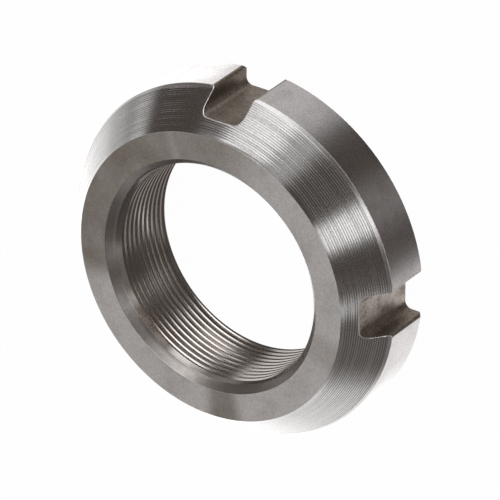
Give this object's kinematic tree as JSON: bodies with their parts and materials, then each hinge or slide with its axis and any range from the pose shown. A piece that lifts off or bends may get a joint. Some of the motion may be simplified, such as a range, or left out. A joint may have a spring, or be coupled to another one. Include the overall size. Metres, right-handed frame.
{
  "type": "round slotted lock nut",
  "caption": "Round one-piece steel lock nut with a fine internal thread, a turned cone on its front edge and spanner slots milled through its rim.",
  "frame": {"origin": "on the thread's axis, in the plane of the flat back face that the nut lies on", "axes": "+Z along the thread's axis towards the cone and front face; the spanner slots open along +X, +Y, -X and -Y"},
  "size_m": [0.0742, 0.0742, 0.0192],
  "materials": {
    "turned_steel": "fine turned grooves on the cone, plain turned front face, lightly stained"
  },
  "bodies": {
    "root": {"lock_nut": "turned_steel"}
  },
  "joints": []
}
